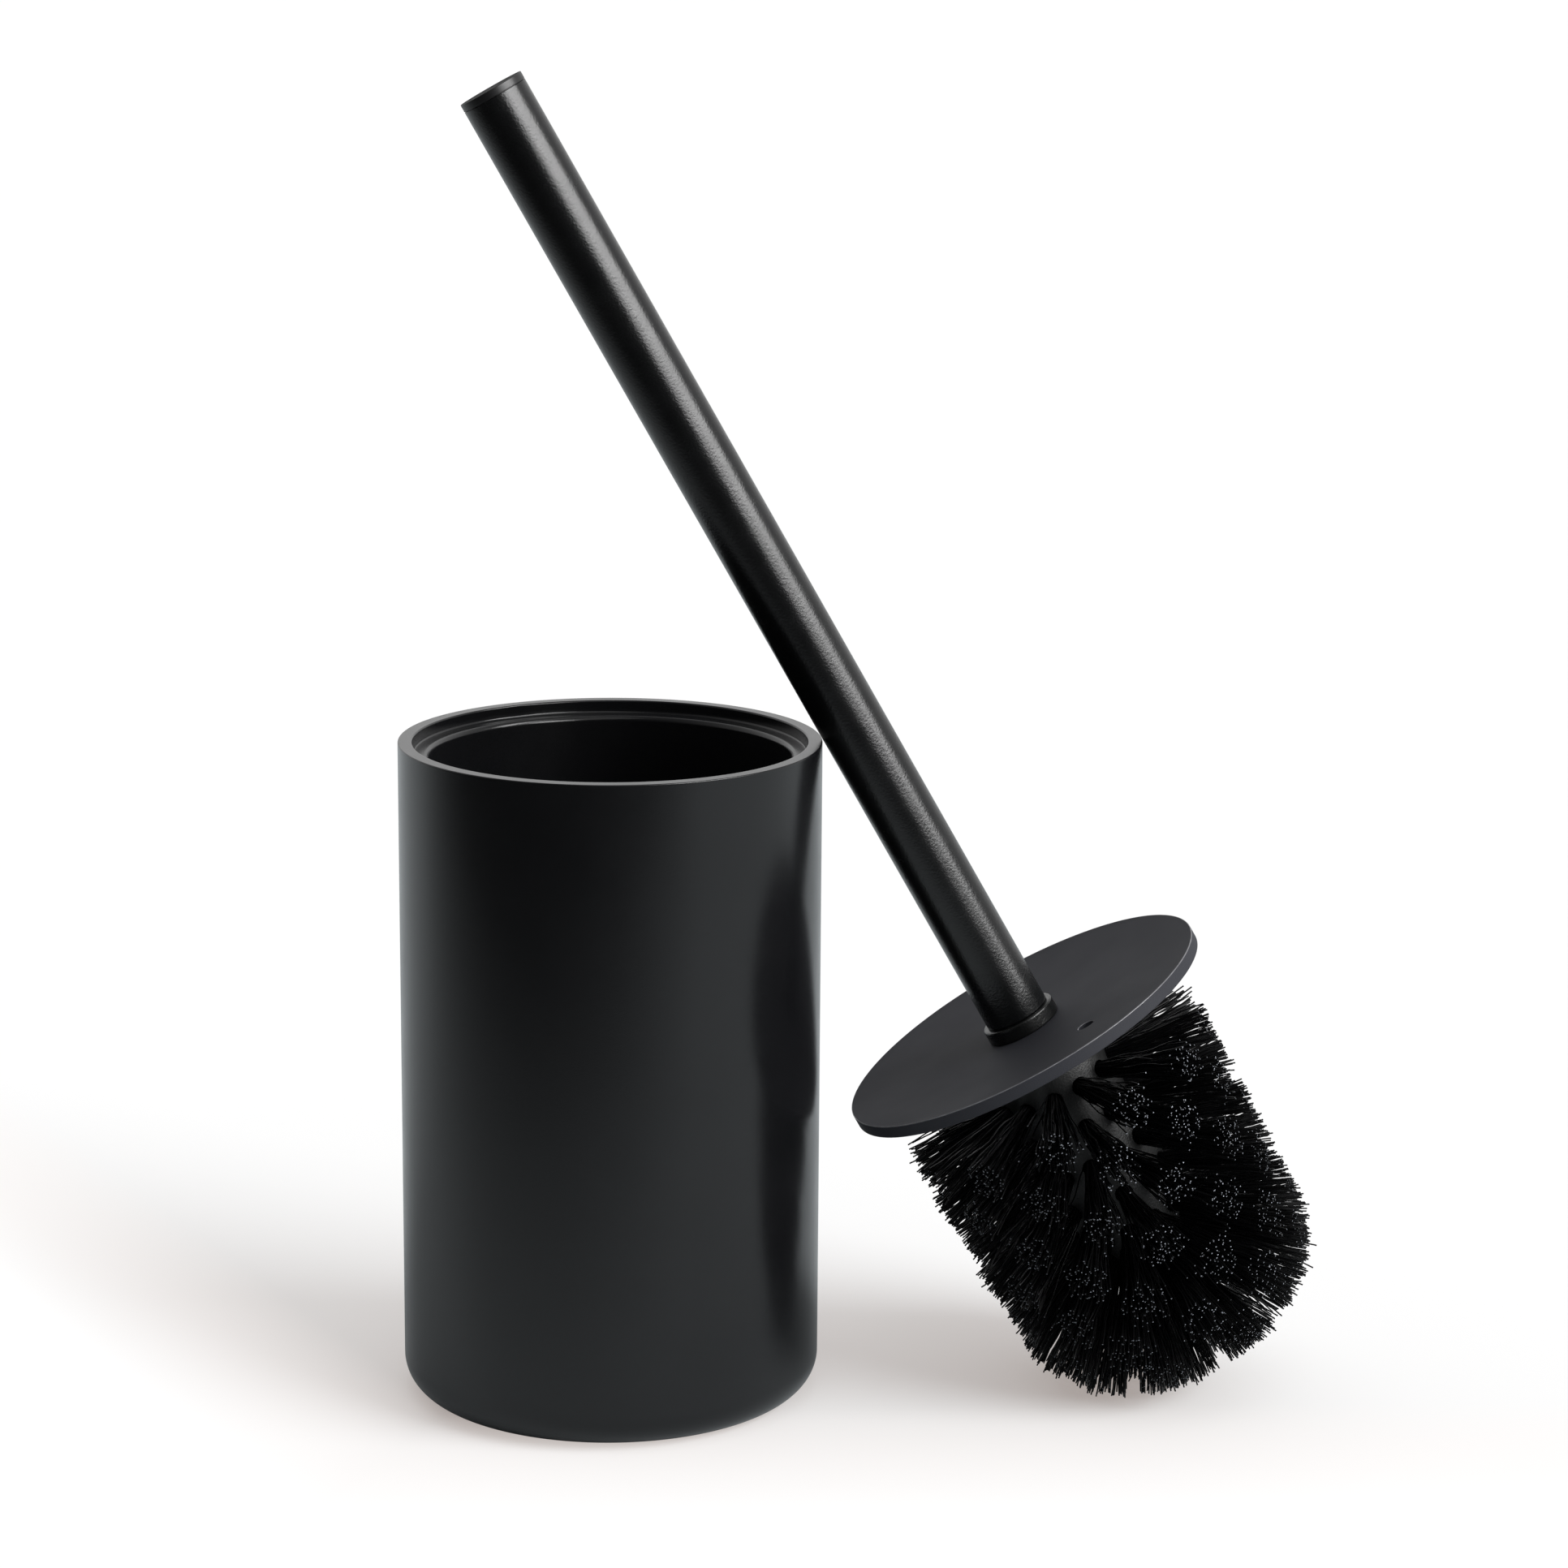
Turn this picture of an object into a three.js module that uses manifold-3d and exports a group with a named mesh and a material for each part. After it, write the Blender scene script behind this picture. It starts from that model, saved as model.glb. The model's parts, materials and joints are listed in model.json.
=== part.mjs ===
// Toilet brush holder: a round cup with a lid ledge, and a brush that leans on the cup's rim.
// Millimetres, +Z up. The origin is the middle of the cup's foot, on the floor.
// The brush leans in the XZ plane: its head stands on the floor at +X, its handle points up to -X.
import * as THREE from "three";
import { mergeVertices } from "three/addons/utils/BufferGeometryUtils.js";
import Module from "manifold-3d";

const wasm = await Module();
wasm.setup();

// ---- driving dimensions ----

const meshGap = 0.3; // between pieces that touch
const edgeRound = 0.4; // broken edges of moulded pieces

// Cup
const cupDiameter = 100;
const cupHeight = 159.55; // floor to rim, pad included
const rimWidth = 3.4;
const ledgeWidth = 4;
const ledgeEdgeRound = 1.8;
const ledgeFillet = 0.6; // between the rim's recess and the ledge
const cupDraft = 0.9; // how much the cavity narrows towards its floor, on the radius
const cupFloorThickness = 4;
const cavityFloorFillet = 4;
const footFillet = 8.5;

// Anti-slip pad under the cup
const padThickness = 2;
const padProud = 0.5; // how far the pad stands out of its recess
const padMargin = 8; // from the cup's outer wall to the pad's recess

// Lid disc on the brush
const lidThickness = 3.15;
const lidClearance = 0.3; // between the lid's edge and the cup's rim recess
const lidDish = 2; // how far the lid's edge stands above its middle
const ventDiameter = 4;
const ventChamfer = 0.4;
const ventReach = 28.9; // from the brush axis
const ventAngle = -61.2; // degrees from the brush's own +X

// Handle
const tubeDiameter = 15.8;
const tubeWall = 0.8;
const tubeLength = 249.8;
const capThickness = 1.6;
const capPlugLength = 10;

// Threaded bush in the tube's lower end
const collarOverhang = 1.25; // how far the flange stands out around the tube
const collarHeight = 3.7; // lid to tube
const collarChamfer = 0.5;
const bushPlugLength = 10;

// Thread between the head's stud and the bush
const studRootRadius = 3.3;
const threadDepth = 0.7;
const threadPitch = 2;
const threadBaseWidth = 1.1;
const threadCrestWidth = 0.45;
const threadTurns = 5;
const threadClearance = 0.25;
const studLength = 11.5; // above the lid

// Brush head
const coreRadius = 14.4;
const coreLength = 72; // below the lid
const coreStraight = 36; // the part of it that doesn't taper
const bristleClearance = 3; // between the bristle tips and the cup's cavity
const bristleReach = 93; // lid top to the lowest tips
const tipShoulder = 69; // where the tips start to round off towards the end
const tipNarrowing = 1.65; // how much the head narrows from the lid to the shoulder
const tuftRootRadius = 2.2;
const tuftTipRadius = 5;
const tuftTipDome = 0.7;
const tuftHoleDepth = 4;

// Rings of tufts, from the lid to the end: depth of the roots, depth of the tips, number of tufts
// and turn of the ring in degrees. The whole brush also has rings 2, 4 and 6, which stand half a
// step round between these. They are filament work and have no solids here.
const tuftRings = [
  { ring: 1, root: 16, tip: 19.5, count: 12, turn: 22 },
  { ring: 3, root: 35, tip: 41, count: 12, turn: 22 },
  { ring: 5, root: 54, tip: 62.5, count: 12, turn: 22 },
  { ring: 7, root: 63.5, tip: 84, count: 10, turn: 0 },
  { ring: 8, root: 70, tip: 91.5, count: 6, turn: 0 },
];

// How the brush leans
const lidStandoff = 7.9; // between the lid's edge and the cup's wall
const floorGap = 0.1; // under the lowest tuft
const leanGap = 0.05; // between the tube and the rim it leans on

// Number of flats that a round surface is made of
const cupFlats = 48;
const lidFlats = 48;
const handleFlats = 32;
const coreFlats = 32;
const threadFlats = 16; // in one turn
const tuftFlats = 8;

// ---- derived dimensions ----

const cupRadius = cupDiameter / 2;
const recessRadius = cupRadius - rimWidth;
const cavityRadius = recessRadius - ledgeWidth;
const cupBase = padProud;
const cavityFloor = cupBase + padThickness - padProud + cupFloorThickness;
const ledgeHeight = cupHeight - lidThickness;
const padRadius = cupRadius - padMargin;

const lidRadius = recessRadius - lidClearance;
const studCrestRadius = studRootRadius + threadDepth;
const lidHoleRadius = studCrestRadius + meshGap;

const tubeRadius = tubeDiameter / 2;
const tubeBore = tubeRadius - tubeWall;
const tubeTop = collarHeight + tubeLength;
const collarRadius = tubeRadius + collarOverhang;

const headTop = -lidThickness - meshGap;
const headRadius = cavityRadius - bristleClearance;

// ---- shapes ----

// The corner of a profile between two edges, rounded by a quarter turn about (x, y).
function quarterArc(x, y, radius, fromDegrees, toDegrees, steps = 4) {
  const points = [];
  for (let i = 0; i <= steps; i += 1) {
    const angle = THREE.MathUtils.degToRad(fromDegrees + ((toDegrees - fromDegrees) * i) / steps);
    points.push([x + radius * Math.cos(angle), y + radius * Math.sin(angle)]);
  }
  return points;
}

// A round solid about Z. The profile is a list of [radius, height], from the bottom up its outside.
function turned(profile, flats) {
  const points = profile.map(([radius, height]) => new THREE.Vector2(radius, height));
  return new THREE.LatheGeometry(points, flats).rotateX(Math.PI / 2);
}

// A round solid with a hole through it: the profile closes on itself.
function turnedRing(profile, flats) {
  return turned([...profile, profile[0]], flats);
}

function cylinder(radius, bottom, top, flats) {
  return turned([[0, bottom], [radius, bottom], [radius, top], [0, top]], flats);
}

function toManifold(geometry) {
  const bare = geometry.clone();
  bare.deleteAttribute("normal");
  bare.deleteAttribute("uv");
  const merged = mergeVertices(bare, 1e-4);
  return new wasm.Manifold(
    new wasm.Mesh({
      numProp: 3,
      vertProperties: merged.attributes.position.array,
      triVerts: new Uint32Array(merged.index.array),
    }),
  );
}

function toGeometry(manifold) {
  const mesh = manifold.getMesh();
  const geometry = new THREE.BufferGeometry();
  geometry.setAttribute("position", new THREE.BufferAttribute(mesh.vertProperties, 3));
  geometry.setIndex(new THREE.BufferAttribute(mesh.triVerts, 1));
  geometry.computeVertexNormals();
  return geometry;
}

function cut(geometry, tools) {
  return toGeometry(tools.reduce((left, tool) => left.subtract(toManifold(tool)), toManifold(geometry)));
}

function join(geometry, others) {
  return toGeometry(others.reduce((sum, other) => sum.add(toManifold(other)), toManifold(geometry)));
}

// A right-handed helical ridge about Z. Its section is a trapezium whose wide side is inside.
function threadRidge(innerRadius, crestRadius, baseWidth, crestWidth, start) {
  const section = [
    [innerRadius, -baseWidth / 2],
    [crestRadius, -crestWidth / 2],
    [crestRadius, crestWidth / 2],
    [innerRadius, baseWidth / 2],
  ];
  const steps = threadTurns * threadFlats;
  const positions = [];
  const triangles = [];
  for (let i = 0; i <= steps; i += 1) {
    const angle = (2 * Math.PI * i) / threadFlats;
    const rise = start + (threadPitch * i) / threadFlats;
    for (const [radius, height] of section) {
      positions.push(radius * Math.cos(angle), radius * Math.sin(angle), height + rise);
    }
  }
  const corners = section.length;
  for (let i = 0; i < steps; i += 1) {
    for (let k = 0; k < corners; k += 1) {
      const a = i * corners + k;
      const b = i * corners + ((k + 1) % corners);
      triangles.push(a, a + corners, b, b, a + corners, b + corners);
    }
  }
  const last = steps * corners;
  triangles.push(0, 1, 2, 0, 2, 3);
  triangles.push(last, last + 2, last + 1, last, last + 3, last + 2);
  const ridge = new THREE.BufferGeometry();
  ridge.setAttribute("position", new THREE.Float32BufferAttribute(positions, 3));
  ridge.setIndex(triangles);
  return ridge;
}

// ---- cup ----

function cupBodyShape() {
  const wallFoot = cavityRadius - cupDraft;
  return turned(
    [
      [0, cupBase + padThickness - padProud],
      [padRadius + meshGap, cupBase + padThickness - padProud],
      [padRadius + meshGap, cupBase],
      ...quarterArc(cupRadius - footFillet, cupBase + footFillet, footFillet, -90, 0),
      ...quarterArc(cupRadius - edgeRound, cupHeight - edgeRound, edgeRound, 0, 90, 2),
      ...quarterArc(recessRadius + edgeRound, cupHeight - edgeRound, edgeRound, 90, 180, 2),
      ...quarterArc(recessRadius - ledgeFillet, ledgeHeight + ledgeFillet, ledgeFillet, 0, -90, 2),
      ...quarterArc(cavityRadius + ledgeEdgeRound, ledgeHeight - ledgeEdgeRound, ledgeEdgeRound, 90, 180),
      ...quarterArc(wallFoot - cavityFloorFillet, cavityFloor + cavityFloorFillet, cavityFloorFillet, 0, -90, 3),
      [0, cavityFloor],
    ],
    cupFlats,
  );
}

function basePadShape() {
  return turned(
    [
      [0, 0],
      [padRadius - edgeRound, 0],
      [padRadius, edgeRound],
      [padRadius, padThickness - meshGap],
      [0, padThickness - meshGap],
    ],
    cupFlats,
  );
}

// ---- handle ----
// The brush is built upright, about Z, with the top of the lid's middle at height 0.

function handleTubeShape() {
  return turnedRing(
    [
      [tubeBore, collarHeight],
      [tubeRadius - edgeRound / 2, collarHeight],
      [tubeRadius, collarHeight + edgeRound / 2],
      [tubeRadius, tubeTop],
      [tubeBore, tubeTop],
    ],
    handleFlats,
  );
}

function handleCapShape() {
  const seat = tubeTop + meshGap;
  const top = seat + capThickness;
  const plugRadius = tubeBore - meshGap;
  return turned(
    [
      [0, seat - capPlugLength],
      [plugRadius - edgeRound, seat - capPlugLength],
      [plugRadius, seat - capPlugLength + edgeRound],
      [plugRadius, seat],
      [tubeRadius, seat],
      ...quarterArc(tubeRadius - edgeRound, top - edgeRound, edgeRound, 0, 90, 2),
      [0, top],
    ],
    handleFlats,
  );
}

function threadBushShape() {
  const plugTop = collarHeight + bushPlugLength;
  const plugRadius = tubeBore - meshGap;
  const flangeTop = collarHeight - meshGap;
  const blank = turned(
    [
      [0, meshGap],
      [collarRadius, meshGap],
      [collarRadius, flangeTop - collarChamfer],
      [collarRadius - collarChamfer, flangeTop],
      [plugRadius, flangeTop],
      [plugRadius, plugTop - edgeRound],
      [plugRadius - edgeRound, plugTop],
      [0, plugTop],
    ],
    handleFlats,
  );
  const bore = cylinder(studRootRadius + threadClearance, -1, plugTop + 1, threadFlats);
  const groove = threadRidge(
    studRootRadius,
    studCrestRadius + threadClearance,
    threadBaseWidth + 2 * threadClearance,
    threadCrestWidth + 2 * threadClearance,
    threadPitch / 2,
  );
  // The stud turns out through the whole bore, so the groove starts below its lower edge.
  const runOut = groove.clone().translate(0, 0, -threadPitch);
  return cut(blank, [bore, groove, runOut]);
}

// ---- lid ----

// Height of the lid's top face at a distance from its axis: flat where it is clamped, then dished.
function lidRise(radius) {
  const outward = Math.max(0, radius - coreRadius) / (lidRadius - coreRadius);
  return lidDish * outward ** 2;
}

function lidDiscShape() {
  const steps = 4;
  const face = [];
  for (let i = 0; i <= steps; i += 1) {
    const radius = coreRadius + ((lidRadius - edgeRound - coreRadius) * i) / steps;
    face.push([radius, lidRise(radius)]);
  }
  const rimTop = lidRise(lidRadius);
  const underside = face.map(([radius, height]) => [radius, height - lidThickness]);
  const disc = turnedRing(
    [
      [lidHoleRadius, -lidThickness],
      ...underside,
      [lidRadius, rimTop - lidThickness + edgeRound],
      [lidRadius, rimTop - edgeRound],
      ...face.reverse(),
      [lidHoleRadius, 0],
    ],
    lidFlats,
  );
  const angle = THREE.MathUtils.degToRad(ventAngle);
  const top = lidRise(ventReach);
  const ventRadius = ventDiameter / 2;
  const vent = turned(
    [
      [0, -lidThickness - 1],
      [ventRadius, -lidThickness - 1],
      [ventRadius, top - ventChamfer],
      [ventRadius + 2 * ventChamfer, top + ventChamfer],
      [0, top + ventChamfer],
    ],
    16,
  );
  vent.translate(ventReach * Math.cos(angle), ventReach * Math.sin(angle), 0);
  return cut(disc, [vent]);
}

// ---- brush head ----

// Radius of the core at a depth below the lid's top: straight, then a quarter of an ellipse.
function coreRadiusAt(depth) {
  const straightEnd = lidThickness + meshGap + coreStraight;
  const end = lidThickness + coreLength;
  const along = Math.min(1, Math.max(0, depth - straightEnd) / (end - straightEnd));
  return coreRadius * Math.sqrt(1 - along ** 2);
}

// Radius that the bristle tips reach at a depth below the lid's top.
function tipRadiusAt(depth) {
  const shoulderRadius = headRadius - tipNarrowing;
  if (depth <= tipShoulder) return headRadius - (tipNarrowing * depth) / tipShoulder;
  const along = Math.min(1, (depth - tipShoulder) / (bristleReach - tipShoulder));
  return shoulderRadius * (1 - along ** 2) ** 0.4;
}

// Where each tuft leaves the core and which way it points, upright and about Z.
function tuftPlaces() {
  const places = [];
  for (const { ring, root, tip, count, turn } of tuftRings) {
    for (let i = 0; i < count; i += 1) {
      const angle = THREE.MathUtils.degToRad(turn + (360 * i) / count);
      const outward = new THREE.Vector3(Math.cos(angle), Math.sin(angle), 0);
      const from = outward.clone().multiplyScalar(coreRadiusAt(root)).setZ(-root);
      const to = outward.clone().multiplyScalar(tipRadiusAt(tip)).setZ(-tip);
      const number = String(i + 1).padStart(2, "0");
      places.push({ name: `tuft_ring${ring}_${number}`, from, to });
    }
  }
  const end = lidThickness + coreLength;
  places.push({
    name: "tuft_tip",
    from: new THREE.Vector3(0, 0, -end),
    to: new THREE.Vector3(0, 0, -bristleReach),
  });
  return places;
}

// Turns and moves a shape built along +Z so that it starts at one point and aims at another.
function aim(geometry, from, to) {
  const direction = to.clone().sub(from).normalize();
  const turn = new THREE.Quaternion().setFromUnitVectors(new THREE.Vector3(0, 0, 1), direction);
  return geometry.applyQuaternion(turn).translate(from.x, from.y, from.z);
}

function tuftShape({ from, to }) {
  const length = from.distanceTo(to);
  const tuft = turned(
    [
      [0, -tuftHoleDepth],
      [tuftRootRadius, -tuftHoleDepth],
      [tuftRootRadius, 1],
      [tuftTipRadius, length - tuftTipDome],
      [0, length],
    ],
    tuftFlats,
  );
  return aim(tuft, from, to);
}

function tuftHoleShape({ from, to }) {
  const radius = tuftRootRadius + meshGap;
  return aim(cylinder(radius, -tuftHoleDepth - meshGap, coreRadius / 2, tuftFlats), from, to);
}

function headCoreShape(places) {
  const end = lidThickness + coreLength;
  const straightEnd = lidThickness + meshGap + coreStraight;
  const steps = 8;
  const nose = [];
  for (let i = 0; i < steps; i += 1) {
    const depth = straightEnd + (end - straightEnd) * Math.cos((Math.PI / 2) * (i / steps));
    nose.push([coreRadiusAt(depth), -depth]);
  }
  const barrel = turned(
    [...nose, [coreRadius, -straightEnd], [coreRadius, headTop], [0, headTop]],
    coreFlats,
  );
  const stud = cylinder(studRootRadius, headTop - 1, studLength, threadFlats);
  const threadStart = threadPitch / 2;
  const ridge = threadRidge(
    studRootRadius - threadClearance,
    studCrestRadius,
    threadBaseWidth,
    threadCrestWidth,
    threadStart,
  );
  return cut(join(barrel, [stud, ridge]), places.map(tuftHoleShape));
}

// ---- how the brush leans ----

// Height of the lid's middle above the floor when the lowest tuft just clears it.
function lidHeight(tufts, lean) {
  let depth = 0;
  for (const tuft of tufts) {
    const corners = tuft.attributes.position;
    for (let i = 0; i < corners.count; i += 1) {
      depth = Math.max(depth, -corners.getZ(i) * Math.cos(lean) - corners.getX(i) * Math.sin(lean));
    }
  }
  return depth + floorGap;
}

// Where the lid's middle is when the tube rests on the rim's outer edge.
function lidPlace(tufts, lean) {
  const height = lidHeight(tufts, lean);
  const reach = tubeRadius + leanGap;
  const rise = cupHeight + reach * Math.sin(lean) - height;
  return { x: cupRadius + reach * Math.cos(lean) + rise * Math.tan(lean), z: height };
}

// The lean that leaves the wanted space between the lid's edge and the cup's wall.
function findLean(tufts) {
  let low = THREE.MathUtils.degToRad(5);
  let high = THREE.MathUtils.degToRad(75);
  for (let i = 0; i < 50; i += 1) {
    const middle = (low + high) / 2;
    const { x } = lidPlace(tufts, middle);
    const edge = x - lidDish * Math.sin(middle) - lidRadius * Math.cos(middle);
    const space = edge - cupRadius;
    if (space < lidStandoff) low = middle;
    else high = middle;
  }
  return low;
}

// ---- materials ----

function material(color, roughness, metalness = 0) {
  return new THREE.MeshStandardMaterial({ color, roughness, metalness });
}

const cupPlastic = material(0x1c1c1d, 0.55);
const powderCoat = material(0x151516, 0.42, 0.1);
const capPlastic = material(0x1a1a1b, 0.5);
const bushPlastic = material(0x0e0e0f, 0.28);
const lidRubber = material(0x333336, 0.7);
const corePlastic = material(0x131314, 0.3);
const bristlePlastic = material(0x0b0b0c, 0.4);
const padRubber = material(0x202022, 0.85);

// ---- assembly ----

function addMesh(group, name, geometry, surface) {
  const mesh = new THREE.Mesh(geometry, surface);
  mesh.name = name;
  group.add(mesh);
}

function makeCup() {
  const cup = new THREE.Group();
  addMesh(cup, "cup_body", cupBodyShape(), cupPlastic);
  addMesh(cup, "base_pad", basePadShape(), padRubber);
  return cup;
}

function makeBrush() {
  const brush = new THREE.Group();
  const places = tuftPlaces();
  const tufts = places.map(tuftShape);
  addMesh(brush, "handle_tube", handleTubeShape(), powderCoat);
  addMesh(brush, "handle_cap", handleCapShape(), capPlastic);
  addMesh(brush, "thread_bush", threadBushShape(), bushPlastic);
  addMesh(brush, "lid_disc", lidDiscShape(), lidRubber);
  addMesh(brush, "head_core", headCoreShape(places), corePlastic);
  places.forEach(({ name }, i) => addMesh(brush, name, tufts[i], bristlePlastic));
  const lean = findLean(tufts);
  const { x, z } = lidPlace(tufts, lean);
  brush.rotation.y = -lean;
  brush.position.set(x, 0, z);
  return brush;
}

const brushHolder = new THREE.Group();
brushHolder.add(makeCup(), makeBrush());

export default brushHolder;
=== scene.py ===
"""Looks of the toilet brush holder: a round cup and the brush that leans on its rim.

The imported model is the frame. Sizes below are in millimetres, as in the part's own source, and
become metres when a mesh is made. The brush is built upright, with the middle of the lid's top
face at height 0, and is then leant by the frame of its screw joint.
"""
import json
import math

import bmesh
import bpy
import numpy as np
from mathutils import Matrix, Vector

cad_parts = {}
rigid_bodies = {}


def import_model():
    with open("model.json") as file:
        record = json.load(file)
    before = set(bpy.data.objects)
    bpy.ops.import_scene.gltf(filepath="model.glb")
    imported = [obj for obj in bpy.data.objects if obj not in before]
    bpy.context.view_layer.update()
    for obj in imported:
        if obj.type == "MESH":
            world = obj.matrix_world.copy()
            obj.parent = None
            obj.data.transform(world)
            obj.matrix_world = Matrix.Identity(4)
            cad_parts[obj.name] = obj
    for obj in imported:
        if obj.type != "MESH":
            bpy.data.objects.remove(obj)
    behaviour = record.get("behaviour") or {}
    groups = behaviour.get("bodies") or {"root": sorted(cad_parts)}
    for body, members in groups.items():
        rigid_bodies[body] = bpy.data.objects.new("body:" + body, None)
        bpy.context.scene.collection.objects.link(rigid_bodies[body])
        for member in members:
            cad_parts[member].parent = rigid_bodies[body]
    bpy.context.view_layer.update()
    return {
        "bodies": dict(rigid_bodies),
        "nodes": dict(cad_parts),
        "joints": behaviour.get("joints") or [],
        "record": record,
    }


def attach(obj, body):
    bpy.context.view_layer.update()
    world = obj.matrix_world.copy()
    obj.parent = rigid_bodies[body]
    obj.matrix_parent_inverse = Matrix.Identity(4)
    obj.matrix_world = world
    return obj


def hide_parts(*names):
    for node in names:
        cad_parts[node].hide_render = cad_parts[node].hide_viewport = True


# ---- dimensions of the part, in millimetres ----

MM = 0.001
SEAM = 0.06
EDGE_ROUND = 0.4
HOLD = 0.25
WELD_REACH = 0.004
SHARP_ANGLE = 30

CUP_RADIUS = 50
CUP_HEIGHT = 159.55
RIM_WIDTH = 3.4
RIM_EDGE = 0.25
LEDGE_WIDTH = 4
LEDGE_EDGE_ROUND = 1.2
LEDGE_FILLET = 0.6
CUP_DRAFT = 0.9
CUP_FLOOR_THICKNESS = 4
CAVITY_FLOOR_FILLET = 4
FOOT_FILLET = 8.5
PAD_THICKNESS = 2
PAD_PROUD = 0.5
PAD_MARGIN = 8

LID_THICKNESS = 3.15
LID_CLEARANCE = 0.3
LID_EDGE = 0.2
LID_HOLE_ROOM = 0.3
LID_DISH = 2
LID_FACE_MARGIN = 0.3
LID_FACE_ROWS = 20
VENT_RADIUS = 2
VENT_CHAMFER = 0.22
VENT_REACH = 28.9
VENT_ANGLE = math.radians(-61.2)

TUBE_RADIUS = 7.9
TUBE_WALL = 0.8
TUBE_LENGTH = 249.8
CAP_THICKNESS = 1.6
CAP_GAP = 0.3
CAP_PLUG_LENGTH = 10
CAP_EDGE = 0.15
CAP_TOP_ROWS = 3
COLLAR_OVERHANG = 1.25
COLLAR_HEIGHT = 3.7
COLLAR_CHAMFER = 0.5
BUSH_PLUG_LENGTH = 10

STUD_ROOT_RADIUS = 3.3
THREAD_DEPTH = 0.7
THREAD_PITCH = 2
THREAD_BASE_WIDTH = 1.1
THREAD_CREST_WIDTH = 0.45
THREAD_CLEARANCE = 0.25
THREAD_START = 0.4
THREAD_STEP = 0.2
BUSH_THREAD_MARGIN = 0.5
STUD_LENGTH = 11.5
STUD_PLAIN_END = 0.9
STUD_CHAMFER = 0.6

CORE_RADIUS = 14.4
CORE_LENGTH = 72
CORE_STRAIGHT = 36
TUFT_HOLE_DEPTH = 4
TUFT_HOLE_RADIUS = 2.3
HOLE_OUTREACH = 5

RECESS_RADIUS = CUP_RADIUS - RIM_WIDTH
CAVITY_RADIUS = RECESS_RADIUS - LEDGE_WIDTH
LEDGE_HEIGHT = CUP_HEIGHT - LID_THICKNESS
PAD_RADIUS = CUP_RADIUS - PAD_MARGIN
LID_RADIUS = RECESS_RADIUS - LID_CLEARANCE
TUBE_BORE = TUBE_RADIUS - TUBE_WALL
TUBE_TOP = COLLAR_HEIGHT + TUBE_LENGTH
COLLAR_RADIUS = TUBE_RADIUS + COLLAR_OVERHANG
PLUG_RADIUS = TUBE_BORE - SEAM
STUD_CREST_RADIUS = STUD_ROOT_RADIUS + THREAD_DEPTH
CORE_END = LID_THICKNESS + CORE_LENGTH
CORE_STRAIGHT_END = LID_THICKNESS + SEAM + CORE_STRAIGHT

# How many segments each turned piece has round its axis
CUP_SEGMENTS = 256
PAD_SEGMENTS = 192
HANDLE_SEGMENTS = 128
LID_SEGMENTS = 256
VENT_SEGMENTS = 48
CORE_SEGMENTS = 96
CORE_END_STEPS = 25
HOLE_SEGMENTS = 24

# ---- filaments ----

# The trimmed shape of the bristles: its radius at the lid, and how it narrows and rounds off
BRISTLE_RADIUS = 39.7
BRISTLE_NARROWING = 1.6
BRISTLE_SHOULDER = 69
BRISTLE_END = 95.2
BRISTLE_ROUNDNESS = 0.4

# Rings of tufts: name, depth of roots, depth of tips, number, turn in degrees, how far the tips
# spread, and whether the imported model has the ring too
TUFT_RINGS = [
    ("ring1", 16, 19.5, 12, 22, 4.9, True),
    ("ring2", 25.5, 30, 12, 7, 4.9, False),
    ("ring3", 35, 41, 12, 22, 4.9, True),
    ("ring4", 44.5, 52, 12, 7, 5.1, False),
    ("ring5", 54, 62.5, 12, 22, 5.3, True),
    ("ring6", 59.5, 74, 12, 7, 6, False),
    ("ring7", 63.5, 84, 10, 0, 7, True),
    ("ring8", 69.5, 90.8, 6, 0, 7.5, True),
]
# The tufts of the rounded end stand round a middle one: the ring's numbers as above
END_RING = (73.6, 94.2, 5, 36, 6.5)
FILAMENTS_PER_TUFT = 72
FILAMENT_RADIUS = 0.18
FILAMENT_SIDES = 6
FILAMENT_STEPS = 10
TUFT_ROOT_SPREAD = 1.75
TUFT_ROOT_GAP = 0.8
TUFT_TIGHTNESS = 1.35
MIDDLE_SPREAD = 6
TIP_SCATTER = 0.75
LENGTH_SCATTER = 0.55
STRAY_SHARE = 0.07
STRAY_SCATTER = 2.8
BEND = 0.5
WAVE = 0.22
WAVE_LENGTH = 15
WAVE_ONSET = 2.5
FLOOR_CLEAR = 0.35
FLOOR_BEND_START = 2.2
# How far along its line, as a share, a filament's trimmed end is looked for
TRIM_RANGE = (0.3, 2.0)
TRIM_STEPS = 24
# A direction that no filament lies along
OFF_AXIS = (0.31, 0.57, 0.76)
SEED = 11

# ---- camera, floor and light, in metres ----

CAMERA_PLACE = (0, -1.0001, 0.3706)
CAMERA_PITCH = 0.21816
CAMERA_YAW = 0.04099
CAMERA_ROLL = 0.00715
CAMERA_LENS = 99.5
FLOOR_HALF = 40
FLOOR_DROP = 0.00005
FLOOR_COLOUR = (0.525, 0.56, 0.576)
FLOOR_GLOW = 0.38
FLOOR_GLOW_COLOUR = (1, 0.89, 0.84)
CEILING_DIMS = 0.65
CEILING_HEIGHTS = (0.55, 0.9)
DARK_FLOOR_COLOUR = (0.02, 0.02, 0.02)
WHITE = (1, 1, 1)
# Where the floor dims or its shadows fade: how much X counts, then from where to where along Y
FLOOR_DIMS = (0.7, -0.6, -0.1)
LEFT_FADE = (1.9, -0.225, -0.095)
FRONT_FADE = (0, -0.09, -0.02)
# The studio's brightness from behind the camera to behind the object: place and level
STUDIO_LEVELS = [(0.0, 0.03), (0.12, 0.05), (0.5, 0.5), (0.75, 0.8), (1.0, 0.9)]
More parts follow.
